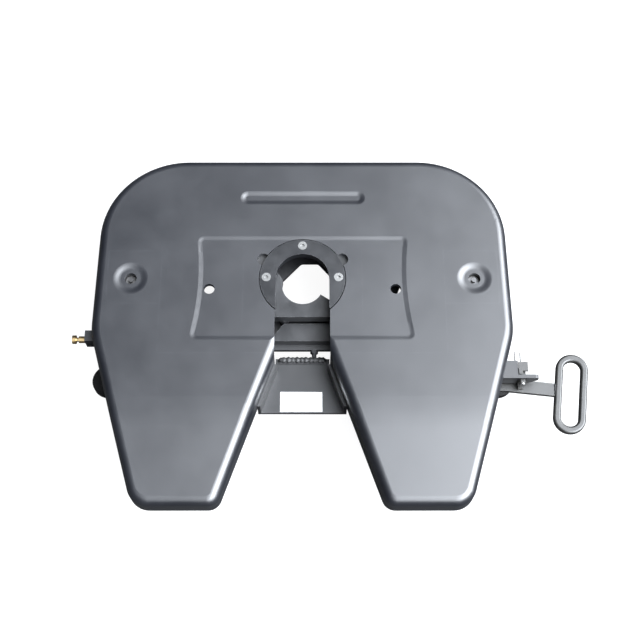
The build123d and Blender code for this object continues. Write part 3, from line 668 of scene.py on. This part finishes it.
@dataclass
class Lock:
    """The jaw's surroundings: welds at the throat and the closing spring."""

    cross_half_length: float = 0.052
    cross_inset: float = 0.004
    cross_rise: float = 0.0135
    cross_radius: float = 0.0075
    corner_front: tuple[float, float] = (0.0715, -0.146)
    corner_rear: tuple[float, float] = (0.0755, -0.164)
    corner_depth_share: float = 0.62
    corner_left_radius: float = 0.0065
    corner_right_radius: float = 0.0045
    merge_distance: float = 0.00001
    smooth_angle: float = 40.0

    def build(self, shop: Workshop) -> None:
        """Add the welds and the spring.

        Args:
            shop: the finishes.
        """
        self.cross_weld(shop)
        self.corner_weld(shop, "corner_weld_left", -1.0, self.corner_left_radius)
        self.corner_weld(shop, "corner_weld_right", 1.0, self.corner_right_radius)
        self.spring(shop)

    def cross_weld(self, shop: Workshop) -> None:
        """Lay the bead along the cross plate's front edge.

        Args:
            shop: the finishes.
        """
        low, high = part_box("cross_plate")
        bead_y = high.y - self.cross_inset
        bead_z = low.z + self.cross_rise
        left_end = Vector((-self.cross_half_length, bead_y, bead_z))
        right_end = Vector((self.cross_half_length, bead_y, bead_z))
        WeldBead("cross_weld", left_end, right_end, self.cross_radius, Body.PLATE).build(shop)

    def corner_weld(self, shop: Workshop, name: str, side: float, radius: float) -> None:
        """Lay one bead beside the throat, below the level of the plate's upper face.

        Args:
            shop: the finishes.
            name: the bead's name.
            side: -1 for the left corner, 1 for the right.
            radius: the bead's radius.
        """
        z = -radius * self.corner_depth_share
        front = Vector((side * self.corner_front[0], self.corner_front[1], z))
        rear = Vector((side * self.corner_rear[0], self.corner_rear[1], z))
        WeldBead(name, front, rear, radius, Body.PLATE, finish="zinc").build(shop)

    def spring(self, shop: Workshop) -> None:
        """Replace the rigid spring with a smooth-shaded copy of its mesh.

        Args:
            shop: the finishes.
        """
        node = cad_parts["closing_spring"]
        piece = bpy.data.objects.new("spring_coil", node.data.copy())
        bpy.context.scene.collection.objects.link(piece)
        deselect_all()
        piece.select_set(True)
        bpy.context.view_layer.objects.active = piece
        bpy.ops.object.mode_set(mode="EDIT")
        bpy.ops.mesh.select_all(action="SELECT")
        bpy.ops.mesh.remove_doubles(threshold=self.merge_distance)
        bpy.ops.object.mode_set(mode="OBJECT")
        bpy.ops.object.shade_smooth_by_angle(angle=math.radians(self.smooth_angle))
        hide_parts("closing_spring")
        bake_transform(piece)
        shop.paint(piece, "steel")
        LOG.info("piece %s bends between plate and lever", piece.name)


@dataclass
class Handle:
    """The pull handle's weld."""

    weld_middle: float = 0.014
    weld_half_length: float = 0.012
    weld_inset: float = 0.001
    weld_radius: float = 0.0035

    def build(self, shop: Workshop) -> None:
        """Add the weld between the arm and the loop.

        Args:
            shop: the finishes.
        """
        low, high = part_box("handle_arm")
        middle_y = low.y + self.weld_middle
        rear_end = Vector((high.x - self.weld_inset, middle_y - self.weld_half_length, high.z))
        front_end = Vector((high.x, middle_y + self.weld_half_length, high.z))
        WeldBead("handle_weld", rear_end, front_end, self.weld_radius, Body.HANDLE).build(shop)


@dataclass
class Studio:
    """The floor, the soft surrounding light and the camera."""

    target: Vector = field(default_factory=lambda: Vector((0.0269, -0.0865, 0.0)))
    elevation: float = 67.0
    distance: float = 2.4
    lens: float = 64.67
    sensor: float = 36.0
    view_depth: float = 50.0
    floor_size: float = 30.0
    floor_gap: float = 0.0005
    floor_glow: float = 0.93
    floor_pale: float = 0.16
    floor_dim: float = 0.03
    sky_colour: tuple[float, float, float, float] = (0.905, 0.948, 1.01, 1.0)
    sky_strength: float = 3.7
    sky_least: float = 0.01
    slope_x: float = 5.9
    slope_y: float = -3.6
    nearest_ahead: float = 0.05
    brightest: float = 6.0
    lamp_place: tuple[float, float, float] = (2.2, -0.9, 1.2)
    lamp_aim: tuple[float, float, float] = (0.0, -0.2, 0.0)
    lamp_size: tuple[float, float] = (1.6, 0.7)
    lamp_power: float = 6.0

    def build(self) -> None:
        """Set up the floor, light, colour handling and camera."""
        self.floor()
        self.surroundings()
        self.lamps()
        self.camera()
        bpy.context.scene.view_settings.view_transform = "Standard"
        bpy.context.scene.view_settings.look = "None"

    def floor(self) -> None:
        """Lay a pale floor under the feet, dark to reflections so that upright walls stay deep."""
        deselect_all()
        low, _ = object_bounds()
        bpy.ops.mesh.primitive_plane_add(size=self.floor_size, location=(0.0, 0.0, low.z - self.floor_gap))
        ground = bpy.context.object
        ground.name = "studio_floor"
        material = bpy.data.materials.new("floor_white")
        material.use_nodes = True
        graph = Graph(material.node_tree)
        path = graph.node("ShaderNodeLightPath")
        seen = graph.node("ShaderNodeEmission")
        seen.inputs["Color"].default_value = (1.0, 1.0, 1.0, 1.0)
        seen.inputs["Strength"].default_value = self.floor_glow
        pale = graph.node("ShaderNodeBsdfDiffuse")
        pale.inputs["Color"].default_value = (self.floor_pale, self.floor_pale, self.floor_pale, 1.0)
        both = graph.node("ShaderNodeAddShader")
        graph.link(seen.outputs[0], both.inputs[0])
        graph.link(pale.outputs[0], both.inputs[1])
        dim = graph.node("ShaderNodeBsdfDiffuse")
        dim.inputs["Color"].default_value = (self.floor_dim, self.floor_dim, self.floor_dim, 1.0)
        choose = graph.node("ShaderNodeMixShader")
        graph.link(path.outputs["Is Camera Ray"], choose.inputs[0])
        graph.link(dim.outputs[0], choose.inputs[1])
        graph.link(both.outputs[0], choose.inputs[2])
        output = graph.node("ShaderNodeOutputMaterial")
        graph.link(choose.outputs[0], output.inputs["Surface"])
        ground.data.materials.append(material)
        ground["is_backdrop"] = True

    def surroundings(self) -> None:
        """Light the scene from a soft sky, brighter to the right and rear, and white where it is seen."""
        world = bpy.data.worlds.new("studio_sky")
        bpy.context.scene.world = world
        world.use_nodes = True
        graph = Graph(world.node_tree)
        direction = graph.node("ShaderNodeSeparateXYZ")
        graph.link(graph.node("ShaderNodeTexCoord").outputs["Generated"], direction.inputs[0])
        right = graph.math("MULTIPLY", direction.outputs["X"], self.slope_x)
        ahead = graph.math("MAXIMUM", direction.outputs["Y"], self.nearest_ahead)
        rear = graph.math("MULTIPLY", ahead, self.slope_y)
        glow = graph.math("EXPONENT", graph.math("ADD", right, rear))
        glow = graph.math("MINIMUM", glow, self.brightest)
        height = graph.ramp(direction.outputs["Z"], low=0.30, high=0.62)
        level = graph.math("MULTIPLY", graph.math("MULTIPLY", glow, height), self.sky_strength)
        level = graph.math("ADD", level, self.sky_least)
        background = graph.node("ShaderNodeBackground")
        background.inputs["Color"].default_value = self.sky_colour
        graph.link(level, background.inputs["Strength"])
        beyond = graph.node("ShaderNodeBackground")
        beyond.inputs["Strength"].default_value = 1.0
        beyond.inputs["Color"].default_value = (1.0, 1.0, 1.0, 1.0)
        path = graph.node("ShaderNodeLightPath")
        choose = graph.node("ShaderNodeMixShader")
        graph.link(path.outputs["Is Camera Ray"], choose.inputs[0])
        graph.link(background.outputs[0], choose.inputs[1])
        graph.link(beyond.outputs[0], choose.inputs[2])
        output = graph.node("ShaderNodeOutputWorld")
        graph.link(choose.outputs[0], output.inputs["Surface"])

    def lamps(self) -> None:
        """Add one soft lamp for the bright edge on the bends that face it."""
        data = bpy.data.lights.new("side_lamp", "AREA")
        data.shape = "RECTANGLE"
        data.size, data.size_y = self.lamp_size
        data.energy = self.lamp_power
        lamp = bpy.data.objects.new("side_lamp", data)
        bpy.context.scene.collection.objects.link(lamp)
        lamp.location = self.lamp_place
        aim = Vector(self.lamp_aim) - Vector(self.lamp_place)
        lamp.rotation_euler = aim.to_track_quat("-Z", "Y").to_euler()

    def camera(self) -> None:
        """Place the camera behind and above the plate."""
        data = bpy.data.cameras.new("view")
        data.sensor_width = self.sensor
        data.lens = self.lens
        data.clip_end = self.view_depth
        camera = bpy.data.objects.new("view", data)
        bpy.context.scene.collection.objects.link(camera)
        rise = math.radians(self.elevation)
        back = Vector((0.0, -math.cos(rise), math.sin(rise)))
        camera.location = self.target + back * self.distance
        camera.rotation_euler = (-back).to_track_quat("-Z", "Y").to_euler()
        bpy.context.scene.camera = camera


def main() -> None:
    """Build the finishes, the added pieces and the studio, in order."""
    shop = Workshop()
    shop.dress()
    Lock().build(shop)
    Handle().build(shop)
    Studio().build()


if __name__ == "__main__":
    main()
